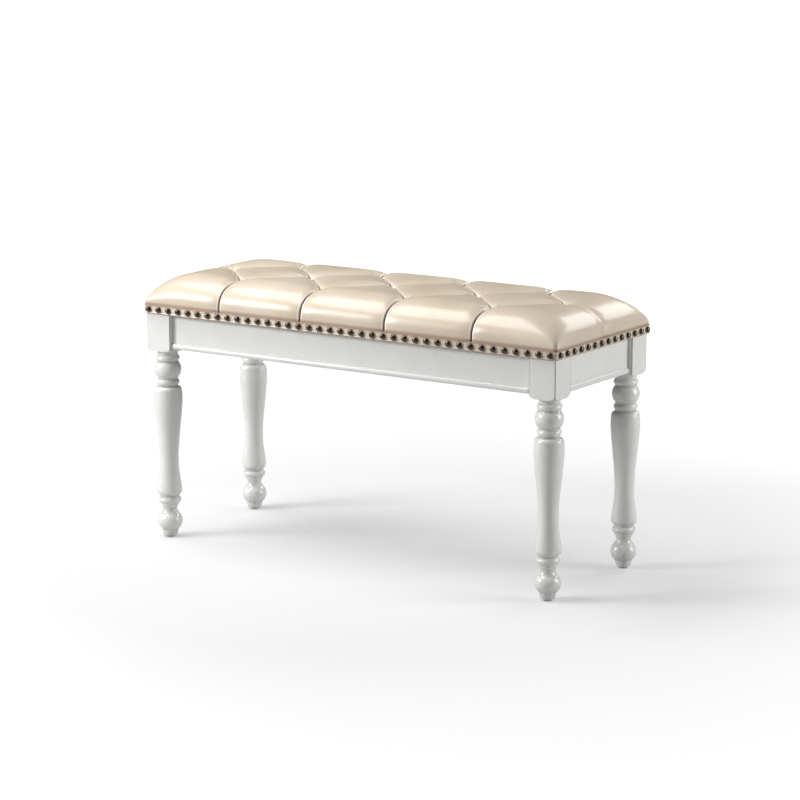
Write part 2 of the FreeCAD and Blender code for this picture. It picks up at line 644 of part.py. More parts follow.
def cushion_section(x, inset, bottom):
    """Closed section of the cushion at x, drawn in by inset on top and at the sides, flat at bottom.

    From the middle of the bench to a side it runs over the middle hill down into the fold, up over the outer
    hill to the crest of the side roll, round the roll to the rim and straight down. The fold moves from the
    middle row to an outer row of tufts and back, which draws the diamonds. At an outer tuft the roll starts
    in the fold itself, which draws the straight pleat down to the rim.
    """
    share = toward_outer_tuft(x)
    end = roll_share(max(abs(x) - COVER_HALF_LENGTH + END_ROLL, 0) / END_ROLL)
    half = COVER_HALF_WIDTH - inset
    rim_y = half
    crest = RIM_HEIGHT + CUSHION_RISE - CREST_DIP * share ** 2
    crest_y = COVER_HALF_WIDTH - SIDE_ROLL + CREST_SHIFT * share
    fold_y = FOLD_HALF_WIDTH + share * (ROW_OFFSET - FOLD_HALF_WIDTH)
    depth = MIDDLE_TUFT_DEPTH + share * (OUTER_TUFT_DEPTH - MIDDLE_TUFT_DEPTH)
    depth -= FOLD_RISE * 4 * share * (1 - share)
    if abs(x) > LAST_TUFT_X:
        depth = END_PLEAT_DEPTH
    fold = RIM_HEIGHT + CUSHION_RISE - depth
    if share == 1:
        crest, crest_y = fold + LEAST_STEP, fold_y + FOLD_HALF_WIDTH
        rim_y = half - PLEAT_DEPTH
    middle = V(x, 0, fold + depth * share)
    valley = V(x, fold_y, fold)
    top = V(x, crest_y, crest)
    outer_hill = list(reversed(eased(top, valley, HILL_CUTS)))[1:] + [top]
    side = [middle] + eased(middle, valley, HILL_CUTS) + outer_hill + roll(top, V(x, rim_y, RIM_HEIGHT))
    for point in side:
        point.z = RIM_HEIGHT - inset + (point.z - RIM_HEIGHT) * end
        point.x = drawn_in(x, inset)
    side.append(V(side[0].x, half, bottom))
    return [V(p.x, -p.y, p.z) for p in reversed(side[1:])] + side


def cushion(inset, bottom):
    """The tufted cushion form as one solid."""
    return faceted([cushion_section(x, inset, bottom) for x in stations()])


def tuft_points():
    """Places of the thirteen tufts as x, y and height."""
    points = []
    for i in range(MIDDLE_TUFTS):
        points.append((-LAST_TUFT_X + i * TUFT_PITCH, 0, BENCH_HEIGHT - MIDDLE_TUFT_DEPTH))
    for i in range(MIDDLE_TUFTS - 1):
        x = -LAST_TUFT_X + HALF_PITCH + i * TUFT_PITCH
        for side in (-1, 1):
            points.append((x, side * ROW_OFFSET, BENCH_HEIGHT - OUTER_TUFT_DEPTH))
    return points


def leather_cover():
    """The cover: over the cushion, down the sides and turned under the board."""
    outer = cushion(0, FRAME_TOP)
    inner = cushion(COVER_THICKNESS, BOARD_BOTTOM)
    x, y = COVER_HALF_LENGTH - HEM_WIDTH, COVER_HALF_WIDTH - HEM_WIDTH
    opening = box(-x, x, -y, y, FRAME_TOP - COVER_THICKNESS, BOARD_TOP)
    return outer.cut(inner).cut(opening)


def at_each_tuft(radius, low, high):
    """Upright bars of one height at the thirteen tufts."""
    return [rod(radius, V(x, y, low), V(x, y, high), TIE_SIDES) for x, y, _ in tuft_points()]


def foam_pad():
    """The pad between the board and the cover, with a hole for each tie."""
    pad = cushion(COVER_THICKNESS + SOFT_GAP, BOARD_TOP + SOFT_GAP)
    return pad.cut(at_each_tuft(TIE_RADIUS + SOFT_GAP, BOARD_TOP, BENCH_HEIGHT))


def seat_board():
    """Plywood board with a hole under each tuft and four screw holes."""
    gap = COVER_THICKNESS + SOFT_GAP
    x, y = COVER_HALF_LENGTH - gap, COVER_HALF_WIDTH - gap
    board = box(-x, x, -y, y, BOARD_BOTTOM, BOARD_TOP)
    holes = at_each_tuft(TIE_HOLE_RADIUS, BOARD_BOTTOM - BOARD_THICKNESS, BOARD_TOP + BOARD_THICKNESS)
    holes += [to_corner(seat_screw_pilot(), sx, sy) for sx, sy in CORNERS.values()]
    return board.cut(holes)


def leather_band():
    """The strip of leather round the bottom of the seat, under the nails."""
    x, y = HALF_LENGTH, HALF_WIDTH
    t = BAND_THICKNESS
    ring = box(-x, x, -y, y, FRAME_TOP, BAND_TOP)
    return ring.cut(box(-x + t, x - t, -y + t, y - t, FRAME_TOP - t, BAND_TOP + t))


def nail_head():
    """A faceted dome on the plane z = 0."""
    rings = [(1.0, 0.0), NAIL_WAIST, (NAIL_TIP, 1.0)]
    x, y = V(NAIL_RADIUS, 0, 0), V(0, NAIL_RADIUS, 0)
    return faceted([round_about(V(0, 0, NAIL_HEIGHT * h), x * r, y * r, NAIL_SIDES) for r, h in rings])


def spread(count, half_run):
    """Evenly spaced places, symmetric about zero."""
    return [-half_run + 2 * half_run * i / (count - 1) for i in range(count)]


def front_nails():
    """The row of nails along the front of the band."""
    level = FRAME_TOP + BAND_HEIGHT / 2
    head = nail_head().rotate(V(0, 0, 0), V(1, 0, 0), 90)
    places = spread(LONG_SIDE_NAILS, HALF_LENGTH - NAIL_CORNER_MARGIN)
    return Part.makeCompound([head.copy().translate(V(x, -HALF_WIDTH, level)) for x in places])


def left_nails():
    """The row of nails along the left end of the band."""
    level = FRAME_TOP + BAND_HEIGHT / 2
    head = nail_head().rotate(V(0, 0, 0), V(0, 1, 0), -90)
    places = spread(END_NAILS, HALF_WIDTH - NAIL_CORNER_MARGIN)
    return Part.makeCompound([head.copy().translate(V(-HALF_LENGTH, y, level)) for y in places])


def tuft_ties():
    """The twine of each tuft, from the washer under the board to the cover."""
    drop = COVER_THICKNESS + SOFT_GAP
    ties = [rod(TIE_RADIUS, V(x, y, BOARD_BOTTOM), V(x, y, z - drop), TIE_SIDES) for x, y, z in tuft_points()]
    return Part.makeCompound(ties)


def tuft_washers():
    """A fibre washer under the board for each tuft."""
    return Part.makeCompound(at_each_tuft(TUFT_WASHER_RADIUS, BOARD_BOTTOM - TUFT_WASHER_THICKNESS, BOARD_BOTTOM))


def dust_cover_outline(inset):
    """Corners of the dust cover in plan, notched round the leg blocks, drawn in by inset."""
    x = APRON_IN_X - DUST_COVER_MARGIN - inset
    y = APRON_IN_Y - DUST_COVER_MARGIN - inset
    notch_x = LONG_HALF - DUST_COVER_MARGIN - inset
    notch_y = SHORT_HALF - DUST_COVER_MARGIN - inset
    quarter = [(x, notch_y), (notch_x, notch_y), (notch_x, y)]
    points = quarter + [(-px, py) for px, py in reversed(quarter)]
    return points + [(-px, -py) for px, py in points]


def dust_cover():
    """Thin cloth under the board, inside the frame."""
    points = [V(px, py, FRAME_TOP - DUST_COVER_THICKNESS) for px, py in dust_cover_outline(0)]
    return Part.Face(Part.makePolygon(points + points[:1])).extrude(V(0, 0, DUST_COVER_THICKNESS))


def dust_cover_staples():
    """Staples along the four edges of the dust cover."""
    level = FRAME_TOP - DUST_COVER_THICKNESS - STAPLE_WIRE
    staples = []
    y = APRON_IN_Y - DUST_COVER_MARGIN - STAPLE_INSET
    x = APRON_IN_X - DUST_COVER_MARGIN - STAPLE_INSET
    run = LONG_HALF - BLOCK_SIDE
    count = int(ceil(2 * run / STAPLE_SPACING))
    for px in spread(count, run):
        for side in (-y, y):
            staples.append(staple(px, side, level, STAPLE_WIDTH, STAPLE_WIRE))
    run = SHORT_HALF - BLOCK_SIDE / 2
    count = int(ceil(2 * run / STAPLE_SPACING))
    for py in spread(count, run):
        for side in (-x, x):
            staples.append(staple(side, py, level, STAPLE_WIRE, STAPLE_WIDTH))
    return Part.makeCompound(staples)


def staple(x, y, low, length_x, length_y):
    """The crown of one staple, flat on the cloth."""
    return box(x - length_x / 2, x + length_x / 2, y - length_y / 2, y + length_y / 2, low, low + STAPLE_WIRE)


def at_each_corner(shape):
    """Copies of a corner piece at the four corners, as one group of solids."""
    return Part.makeCompound([to_corner(shape, sx, sy) for sx, sy in CORNERS.values()])


def main():
    parts = {}
    one_leg = leg()
    one_block = corner_block()
    for name, (sx, sy) in CORNERS.items():
        parts[name + "_leg"] = to_corner(one_leg, sx, sy)
        parts[name + "_corner_block"] = to_corner(one_block, sx, sy)
    front, left = V(0, 1, 0), V(1, 0, 0)
    for piece, shape in (("apron", front_apron()), ("bead", front_bead()), ("nails", front_nails())):
        parts["front_" + piece] = shape
        parts["back_" + piece] = shape.mirror(V(0, 0, 0), front)
    for piece, shape in (("apron", left_apron()), ("bead", left_bead()), ("nails", left_nails())):
        parts["left_" + piece] = shape
        parts["right_" + piece] = shape.mirror(V(0, 0, 0), left)
    parts["hanger_bolts"] = at_each_corner(hanger_bolt())
    parts["bolt_washers"] = at_each_corner(bolt_washer())
    parts["bolt_nuts"] = at_each_corner(bolt_nut())
    parts["corner_block_screws"] = Part.makeCompound([at_each_corner(front_screw()), at_each_corner(end_screw())])
    parts["seat_screws"] = at_each_corner(seat_screw())
    parts["floor_glides"] = at_each_corner(floor_glide())
    parts["leather_cover"] = leather_cover()
    parts["leather_band"] = leather_band()
    parts["foam_pad"] = foam_pad()
    parts["seat_board"] = seat_board()
    parts["tuft_ties"] = tuft_ties()
    parts["tuft_washers"] = tuft_washers()
    parts["dust_cover"] = dust_cover()
    parts["dust_cover_staples"] = dust_cover_staples()
    os.makedirs("parts", exist_ok=True)
    for name, shape in parts.items():
        shape.exportStep(os.path.join("parts", name + ".step"))
        size = shape.BoundBox
        print(name, "solids", len(shape.Solids), "valid", shape.isValid(), "volume", round(shape.Volume),
              "size", round(size.XLength, 1), round(size.YLength, 1), round(size.ZLength, 1))


main()
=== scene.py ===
# %% [markdown]
# An upholstered bench: a long seat in pearl leather, tufted in diamonds, edged with dome-head
# nails, on a painted frame with four turned legs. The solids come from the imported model, in
# metres. This first cell loads them, because every new piece below is placed by them.

# %% Load the solids
from math import radians

import bpy
import numpy as np
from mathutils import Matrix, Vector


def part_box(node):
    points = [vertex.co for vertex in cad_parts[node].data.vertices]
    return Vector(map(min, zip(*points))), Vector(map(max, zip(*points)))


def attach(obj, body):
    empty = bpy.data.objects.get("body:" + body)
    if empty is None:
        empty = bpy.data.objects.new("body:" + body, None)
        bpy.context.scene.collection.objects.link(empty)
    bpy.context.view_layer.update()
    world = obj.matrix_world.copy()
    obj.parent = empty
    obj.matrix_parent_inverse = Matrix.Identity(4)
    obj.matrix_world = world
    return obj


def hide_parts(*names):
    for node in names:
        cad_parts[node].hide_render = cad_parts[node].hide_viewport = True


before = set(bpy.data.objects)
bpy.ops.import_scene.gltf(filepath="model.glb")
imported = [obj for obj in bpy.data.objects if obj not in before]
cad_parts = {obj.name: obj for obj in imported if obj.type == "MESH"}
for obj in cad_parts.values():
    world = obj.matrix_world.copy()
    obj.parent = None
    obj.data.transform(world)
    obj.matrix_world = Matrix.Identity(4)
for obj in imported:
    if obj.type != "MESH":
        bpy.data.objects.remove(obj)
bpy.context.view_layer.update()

MM = 0.001

# %% [markdown]
# Every new piece is a surface that numpy works out as a whole: points in rows, and four-cornered
# faces between neighbouring rows. These helpers turn such rows into a mesh. They work in
# millimetres, the unit that a furniture maker measures in, and only the mesh is in metres.

# %% Rows of points to a mesh
def strip_faces(rows, columns, around=False):
    """Quads between neighbouring rows; point number = row * columns + column.
    With around, the last column joins the first one."""
    across = np.arange(columns if around else columns - 1)
    i, j = np.meshgrid(np.arange(rows - 1), across, indexing="ij")
    k = (j + 1) % columns
    near, far = i * columns, (i + 1) * columns
    return np.stack([near + j, near + k, far + k, far + j], -1).reshape(-1, 4)


def make_piece(name, points, faces, smooth=True):
    """A mesh object at the origin, from points in millimetres and lists of point numbers."""
    mesh = bpy.data.meshes.new(name)
    metres = np.asarray(points, float).reshape(-1, 3) * MM
    mesh.from_pydata(metres.tolist(), [], [list(face) for face in faces])
    mesh.polygons.foreach_set("use_smooth", np.full(len(mesh.polygons), smooth))
    mesh.update()
    piece = bpy.data.objects.new(name, mesh)
    bpy.context.scene.collection.objects.link(piece)
    return piece


def tube(rings):
    """Closed body through rings of points, all of one count: quads between the rings
    and a face over each end."""
    rings = np.asarray(rings, float)
    count, sides = rings.shape[:2]
    faces = strip_faces(count, sides, around=True).tolist()
    faces.append(list(range(sides))[::-1])
    faces.append(list(range((count - 1) * sides, count * sides)))
    return rings.reshape(-1, 3), faces


def keep_numbers(piece, name, numbers):
    """One number for each point of a piece, which its finish can read by this name."""
    kept = piece.data.attributes.new(name, "FLOAT", "POINT")
    kept.data.foreach_set("value", np.ravel(numbers).astype(np.float32))


def dress(piece, finish, slot, *nodes):
    """The piece takes a finish, rides with the bench and stands for these solids."""
    piece.data.materials.clear()
    piece.data.materials.append(finish)
    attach(piece, "root")
    if nodes:
        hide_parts(*nodes)
    print(piece.name, len(piece.data.vertices), "points", len(piece.data.polygons), "faces")


# %% [markdown]
# A finish is a set of nodes. Writing its arithmetic as Python expressions keeps it readable:
# the class below wraps a socket, so that 1 - mask adds a Math node by itself. Colours go
# through Mix nodes, because a Math node would turn a colour grey.

# %% Shader values as Python expressions
class Value:
    """An output socket; + - * on it add Math nodes to its finish."""

    def __init__(self, finish, socket):
        self.finish = finish
        self.socket = socket

    def math(self, operation, *numbers):
        settings = {"operation": operation}
        return self.finish.node("ShaderNodeMath", settings, dict(enumerate(numbers)))

    def __add__(self, other):
        return self.math("ADD", self, other)

    def __sub__(self, other):
        return self.math("SUBTRACT", self, other)

    def __rsub__(self, other):
        return self.math("SUBTRACT", other, self)

    def __mul__(self, other):
        return self.math("MULTIPLY", self, other)

    __radd__ = __add__
    __rmul__ = __mul__

    def between(self, low, high):
        """0 below low, 1 above high, and evenly in between."""
        return self.finish.node("ShaderNodeMapRange", {}, {0: self, 1: low, 2: high})


class Finish:
    """A material of nodes round one Principled shader."""

    def __init__(self, name):
        self.material = bpy.data.materials.new(name)
        self.material.use_nodes = True
        self.tree = self.material.node_tree
        self.shader = next(n for n in self.tree.nodes if n.type == "BSDF_PRINCIPLED")

    def node(self, kind, settings, inputs, output=0):
        """Adds a node: its settings first, then its sockets."""
        made = self.tree.nodes.new(kind)
        for key, value in settings.items():
            setattr(made, key, value)
        self.feed(made, inputs)
        return Value(self, made.outputs[output])

    def feed(self, made, inputs):
        """Values or links for a node's sockets."""
        for key, value in inputs.items():
            if isinstance(value, Value):
                self.tree.links.new(value.socket, made.inputs[key])
            else:
                made.inputs[key].default_value = value

    def place(self, stretch=(1, 1, 1)):
        """Object coordinates, stretched."""
        spot = self.node("ShaderNodeTexCoord", {}, {}, output=3)
        return self.node("ShaderNodeMapping", {}, {"Vector": spot, "Scale": stretch})

    def noise(self, scale, detail, where=None, **inputs):
        """Soft cloudy noise from 0 to 1, scale cells to a metre."""
        spot = where or self.place()
        inputs.update(Vector=spot, Scale=scale, Detail=detail)
        return self.node("ShaderNodeTexNoise", {}, inputs)

    def cells(self, scale, feature="F1"):
        """Distance to the middle or the edge of irregular cells, scale cells to a metre."""
        inputs = {"Vector": self.place(), "Scale": scale}
        return self.node("ShaderNodeTexVoronoi", {"feature": feature}, inputs)

    def attribute(self, name):
        """A number kept on the piece's points."""
        return self.node("ShaderNodeAttribute", {"attribute_name": name}, {}, output=2)

    def mix(self, share, first, second):
        """First colour where share is 0, second where it is 1."""
        settings = {"data_type": "RGBA"}
        return self.node("ShaderNodeMix", settings, {0: share, 6: first, 7: second}, output=2)

    def bump(self, height, depth, strength):
        """A normal from a height of 0 to 1 that stands for depth in metres."""
        inputs = {"Height": height, "Distance": depth, "Strength": strength}
        return self.node("ShaderNodeBump", {}, inputs)

    def shade(self, **inputs):
        """Values or links for the shader; an underscore in a name stands for a space."""
        self.feed(self.shader, {key.replace("_", " "): value for key, value in inputs.items()})
        return self.material


def colour(red, green, blue):
    """Linear colour from the 0 to 255 values that a screen shows:
    ((c + 0.055) / 1.055) to the power 2.4."""
    screen = np.array([red, green, blue]) / 255
    return tuple(((screen + 0.055) / 1.055) ** 2.4) + (1.0,)


# %% [markdown]
# The leather is a pale champagne hide with a pearl lacquer: a satin gloss over a warm beige.
# Brown painted shade darkens its creases, its rim and its ties, and a pale painted highlight
# lies on the lips beside the folds. Its pebbled grain is a bump of small cells, too fine to
# model. The piece keeps how near each point is to a fold, and the finish reads that number
# for the painted shade, so the brown follows the sewing.

# %% Pearl leather
def pearl_leather():
    leather = Finish("pearl_leather")
    crease_shade_mask = leather.attribute("crease")
    lip_highlight = leather.attribute("lip_highlight")
    cloud = leather.noise(9.0, 4.0)
    grain = leather.cells(820.0, "DISTANCE_TO_EDGE")
    pores = leather.noise(2600.0, 2.0)
    hide = leather.mix(cloud.between(0.35, 0.68), colour(208, 192, 169), colour(221, 207, 187))
    mottled = leather.mix(pores.between(0.5, 0.8) * 0.12, hide, colour(178, 158, 132))
    # Painted highlight: pale cream on the rounded lips beside the folds and the pleats.
    painted_light = leather.mix(lip_highlight * 0.85, mottled, colour(250, 245, 236))
    # Painted shade: brown in the creases, just above the rim and round the ties.
    crease_shaded_hide = leather.mix(crease_shade_mask.between(0.1, 0.9), painted_light, colour(122, 66, 30))
    pebbles = grain.between(0.0, 0.12) * 0.7 + pores * 0.3
    return leather.shade(
        Base_Color=crease_shaded_hide,
        Roughness=0.5 + cloud * 0.08 + crease_shade_mask * 0.2,
        Metallic=0.05,
        Coat_Weight=0.7 - crease_shade_mask * 0.65,
        Coat_Roughness=0.22,
        Normal=leather.bump(pebbles, 0.00006, 0.35),
    )


PEARL = pearl_leather()

# %% [markdown]
# The frame is beech under a warm white lacquer. Sprayed lacquer is never quite even: it has a
# fine orange peel, a faint cloudiness in the colour and a little more gloss on some patches.

# %% White lacquer
def white_lacquer():
    paint = Finish("painted_wood")
    cloud = paint.noise(14.0, 3.0)
    peel = paint.noise(170.0, 1.0)
    fibres = paint.noise(60.0, 3.0)
    tone = paint.mix(cloud.between(0.3, 0.7), colour(231, 232, 228), colour(238, 238, 234))
    # Painted shade: a dark line down the block's arrises and darker grooves between the turned
    # rings.
    shaded_tone = paint.mix(paint.attribute("arris_and_groove_shade"), tone, colour(92, 88, 80))
    return paint.shade(
        Base_Color=shaded_tone,
        Roughness=0.24 + fibres * 0.1,
        Coat_Weight=0.5,
        Coat_Roughness=0.12,
        Normal=paint.bump(peel, 0.00002, 0.1),
    )


LACQUER = white_lacquer()

# %% [markdown]
# The nails are brass, darkened to an antique brown and paler towards the crown of each
# dome. A patchy mix of two metals with uneven gloss shows that better than one dark colour.

# %% Antique nails
def antique_brass():
    brass = Finish("antique_nail")
    patina = brass.noise(700.0, 4.0)
    hammer = brass.noise(420.0, 1.0)
    toward_crown = brass.attribute("crown")
    metal = brass.mix(patina.between(0.4, 0.7), colour(14, 10, 8), colour(40, 28, 19))
    # Paler brass towards the crown of each dome, in patches.
    shown = brass.mix(toward_crown * patina.between(0.3, 0.6) * 0.35, metal, colour(150, 112, 70))
    return brass.shade(
        Base_Color=shown,
        Metallic=0.7,
        Roughness=0.1 + patina * 0.14,
        Coat_Weight=1.0,
        Coat_Roughness=0.06,
        Normal=brass.bump(hammer, 0.0002, 0.15),
    )


BRASS = antique_brass()

# %% [markdown]
# Under the seat the wood and the fittings are as they came: planed beech blocks, plywood,
# zinc-plated steel, fibre washers, waxed twine, black non-woven cloth and nylon glides.
# Grain is noise that is stretched along the piece, and growth rings are bent by more noise.

# %% Wood without paint
def bare_wood(name, dark, light, along, rings):
    """Grain that runs along one direction: noise cells far longer one way than the other."""
    wood = Finish(name)
    streaks = wood.noise(1.0, 4.0, wood.place(stretch=along))
    fine = wood.noise(6.0, 3.0, wood.place(stretch=along))
    bands = wood.noise(rings, 2.0, Distortion=1.4)
    tone = wood.mix(streaks.between(0.3, 0.7), dark, light)
    tone = wood.mix(bands.between(0.45, 0.6) * 0.3, tone, dark)
    return wood.shade(
        Base_Color=tone,
        Roughness=0.62 + fine * 0.15,
        Normal=wood.bump(fine, 0.0002, 0.4),
    )


BEECH = bare_wood("raw_wood", colour(176, 132, 88), colour(214, 178, 132), (60, 60, 9), 30)
PLYWOOD = bare_wood("plywood", colour(190, 158, 112), colour(222, 196, 152), (5, 90, 90), 18)

# %% Steel, cloth, twine, fibre and nylon
def zinc_steel():
    steel = Finish("zinc_steel")
    bloom = steel.noise(300.0, 4.0)
    tone = steel.mix(bloom.between(0.35, 0.7), colour(168, 168, 164), colour(205, 206, 204))
    return steel.shade(
        Base_Color=tone,
        Metallic=0.95,
        Roughness=0.3 + bloom * 0.25,
        Normal=steel.bump(bloom, 0.00008, 0.4),
    )


def dust_cloth():
    cloth = Finish("dust_cloth")
    fibres = cloth.noise(900.0, 4.0, Distortion=2.0)
    dots = cloth.cells(480.0)
    tone = cloth.mix(fibres.between(0.3, 0.7), colour(24, 24, 25), colour(52, 52, 54))
    height = fibres * 0.5 + dots.between(0.0, 0.5) * 0.5
    normal = cloth.bump(height, 0.0002, 0.6)
    return cloth.shade(Base_Color=tone, Roughness=0.85 + fibres * 0.1, Normal=normal)


def twine():
    cord = Finish("twine")
    lay = cord.noise(500.0, 3.0, cord.place(stretch=(3, 3, 1)))
    tone = cord.mix(lay.between(0.3, 0.7), colour(170, 150, 112), colour(216, 200, 164))
    normal = cord.bump(lay, 0.0003, 0.8)
    return cord.shade(Base_Color=tone, Roughness=0.8 + lay * 0.1, Normal=normal)


def washer_fibre():
    fibre = Finish("washer_fibre")
    flecks = fibre.noise(1200.0, 4.0)
    tone = fibre.mix(flecks.between(0.35, 0.65), colour(92, 58, 40), colour(130, 88, 62))
    normal = fibre.bump(flecks, 0.0001, 0.5)
    return fibre.shade(Base_Color=tone, Roughness=0.7 + flecks * 0.15, Normal=normal)


def glide_nylon():
    nylon = Finish("glide_plastic")
    scuffs = nylon.noise(500.0, 5.0)
    tone = nylon.mix(scuffs.between(0.4, 0.7), colour(196, 192, 184), colour(222, 219, 210))
    normal = nylon.bump(scuffs, 0.0001, 0.4)
    return nylon.shade(Base_Color=tone, Roughness=0.45 + scuffs * 0.2, Normal=normal)


STEEL, CLOTH, TWINE = zinc_steel(), dust_cloth(), twine()
FIBRE, NYLON = washer_fibre(), glide_nylon()

# %% [markdown]
# The solids that already have the right shape keep it and only take a finish: the four aprons,
# the corner blocks, the seat board and the small fittings.

# %% Finishes of the solids that stay
CORNERS = {
    "front_left": (-1, -1),
    "front_right": (1, -1),
    "back_left": (-1, 1),
    "back_right": (1, 1),
}
STAYS = {
    LACQUER: [side + "_apron" for side in ("front", "back", "left", "right")],
    BEECH: [corner + "_corner_block" for corner in CORNERS],
    PLYWOOD: ["seat_board"],
    STEEL: ["hanger_bolts", "bolt_washers", "bolt_nuts", "corner_block_screws", "seat_screws",
            "dust_cover_staples"],
    TWINE: ["tuft_ties"],
    FIBRE: ["tuft_washers"],
    NYLON: ["floor_glides"],
}
for finish, names in STAYS.items():
    for name in names:
        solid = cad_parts[name]
        solid.data.materials.clear()
        solid.data.materials.append(finish)
print("solids with a finish:", sum(len(names) for names in STAYS.values()))

# %% [markdown]
# The cushion. Thirteen ties pull the leather down in three rows, and between them it folds
# along the diagonals, so the top becomes a field of diamonds; from the outer ties straight
# pleats run to the rims. A cloth simulation would blur those crisp folds, so the surface is
# built from the upholsterer's own layout. Its height without tufts is a long roll on each
# side. The folds are then pressed in along the surface's normal, deep at a tie and shallower
# between two ties.

# %% The layout of the tufts
RIM = 400.0                  # height of the leather's lower edge over the band
RISE = 49.6                  # of the crest over the rim
HALF_LENGTH, HALF_WIDTH = 396.9, 146.9
SIDE_ROLL, END_ROLL = 60.0, 80.0
LAST_TUFT, HALF_PITCH, ROW = 324.0, 81.0, 84.0
MIDDLE_X = np.arange(-2, 3) * 2 * HALF_PITCH
OUTER_X = np.arange(-3, 4, 2) * HALF_PITCH
CORNER_ROUND = 7.0
ROLL_START = 1.8             # how softly a roll leaves the crest
ROLL_FULLNESS = 2.6          # how full it stays down to the rim


def toward_outer(x):
    """0 at a middle tuft, 1 at an outer one and 0 past the last tuft:
    1 - |(|x| / half pitch mod 2) - 1|."""
    share = 1 - np.abs((np.abs(x) / HALF_PITCH) % 2 - 1)
    return np.where(np.abs(x) >= LAST_TUFT, 0.0, share)


def roll_share(way):
    """Height left on a roll, part of the way out: (1 - way ** start) ** (1 / fullness)."""
    return np.maximum(1 - np.clip(way, 0, 1) ** ROLL_START, 0) ** (1 / ROLL_FULLNESS)


def even_on_roll(width, count):
    """Distances from the crest of a roll, evenly spaced along its curve down to the rim."""
    way = 1 - np.linspace(1, 0, 4000) ** 3
    length = np.hypot(np.diff(way * width), np.diff(RISE * roll_share(way)))
    along = np.concatenate([[0], np.cumsum(length)])
    return np.interp(np.linspace(0, along[-1], count + 1)[1:], along, way * width)


print("tufts:", len(MIDDLE_X) + 2 * len(OUTER_X))

# %% [markdown]
# The grid follows the sewing. Its lines across the bench crowd together at the pleats, and
# each of them is split where it crosses a diagonal fold, so a fold is always an edge of the
# mesh and stays sharp with few points.

# %% Lines of the grid
def crowded(low, high, count, places, width, gain):
    """count values from low to high, closer together near some places: even steps of the
    summed density 1 + gain / (1 + (distance / width) ** 2)."""
    fine = np.linspace(low, high, 8001)
    apart = (fine[:, None] - places) / width
    density = 1 + (gain / (1 + apart ** 2)).sum(1)
    summed = np.concatenate([[0], np.cumsum((density[1:] + density[:-1]) / 2)])
    return np.interp(np.linspace(0, summed[-1], count), summed, fine)


def lines_along():
    """Places of the grid's lines from the left rim to the right one."""
    start = HALF_LENGTH - END_ROLL
    middle = crowded(-start, start, 371, OUTER_X, 2.2, 10.0)
    end = start + even_on_roll(END_ROLL, 46)
    return np.concatenate([-end[::-1], middle, end])


def lines_across(x, inner=28, outer=64):
    """For each line x, places from the front rim to the back one: inner steps from the
    middle to the fold, crowded towards it, and outer steps from there to the rim."""
    fold = np.maximum(toward_outer(x) * ROW, 1.0)[:, None]
    to_fold = 1 - np.linspace(1, 0, inner + 1)[None] ** 1.7
    s = np.linspace(0, 1, outer + 1)[1:]
    from_fold = (s ** 1.5 * (1 - s) + s * (1 - (1 - s) ** 2.2))[None]
    half = np.concatenate([fold * to_fold, fold + (HALF_WIDTH - fold) * from_fold], 1)
    return np.concatenate([-half[:, :0:-1], half], 1), fold


LINES = lines_along()
ACROSS, FOLD_Y = lines_across(LINES)
ALONG = np.repeat(LINES[:, None], ACROSS.shape[1], 1)
print("grid of the leather:", ACROSS.shape)

# %% [markdown]
# How deep the leather is pulled depends only on the distance to the nearest fold, pleat or
# tie. Each of these gives a field over the grid. The deepest one rules, with a soft change
# between them: the fourth root of the sum of their fourth powers.

# %% How deep the folds are pulled
def pull(distance, reach, crease, broad_depth, crisp_depth):
    """Depth by distance d to a fold, with left = 1 - d / reach, down to 0:
    broad * (0.5 left ** 2 + 0.5 exp(-d / 10) left) + crisp * exp(-d / crease)."""
    left = np.clip(1 - distance / reach, 0, 1)
    broad = 0.5 * left ** 2 + 0.5 * np.exp(-distance / 10.0) * left
    return broad_depth * broad + crisp_depth * np.exp(-distance / crease)


def nearest(x, y):
    """Distance to the nearest of the thirteen ties, and the angle round it."""
    places = [(a, 0.0) for a in MIDDLE_X] + [(a, b) for a in OUTER_X for b in (-ROW, ROW)]
    across = x[..., None] - np.array([p[0] for p in places])
    back = y[..., None] - np.array([p[1] for p in places])
    apart = np.hypot(across, back)
    best = apart.argmin(-1)[..., None]
    apart, across, back = [np.take_along_axis(a, best, -1)[..., 0] for a in (apart, across, back)]
    return apart, np.arctan2(back, across)


def folds(x, y):
    """Depth of the diagonal folds: 6.5 mm at a middle tie and 10 mm at an outer one,
    1.25 mm less halfway, and sharpest at both ties."""
    share = toward_outer(x)
    away = np.abs(np.abs(y) - FOLD_Y) * HALF_PITCH / np.hypot(HALF_PITCH, ROW)
    past = np.abs(x) > LAST_TUFT
    away = np.where(past, np.hypot(np.abs(x) - LAST_TUFT, y), away)
    deep = 6.5 + 3.5 * share - 5.0 * share * (1 - share)
    crisp = 1.2 + 2.2 * np.abs(2 * share - 1) ** 2
    return pull(away, 46.0, 1.2, deep, crisp), away, share


def pleats(x, y):
    """Depth of the straight pleats: 10 mm at the outer ties and 2.5 mm at the rims."""
    aside = np.abs(x[..., None] - OUTER_X).min(-1)
    run = np.clip((np.abs(y) - ROW) / (HALF_WIDTH - ROW), 0, 1)
    away = np.where(np.abs(y) > ROW, aside, np.hypot(aside, np.abs(y) - ROW))
    deep = 10.0 - 7.5 * run
    return pull(away, 30.0, 0.9, deep, 3.2), away


def end_pleats(x, y):
    """Soft pleat down the middle of each end: 2 mm * exp(-(y / 11) ** 2)."""
    start = np.clip((np.abs(x) - LAST_TUFT) / 12, 0, 1)
    return 2.0 * start * np.exp(-(y / 11) ** 2)


def wrinkles(x, y):
    """Small creases that run out from each tie: waves round it, strongest 14 mm away."""
    apart, turn = nearest(x, y)
    fan = np.cos(turn * 9 + 0.6) + 0.6 * np.cos(turn * 14 + 2.0)
    return 0.6 * fan * np.exp(-((apart - 14) / 9) ** 2), apart


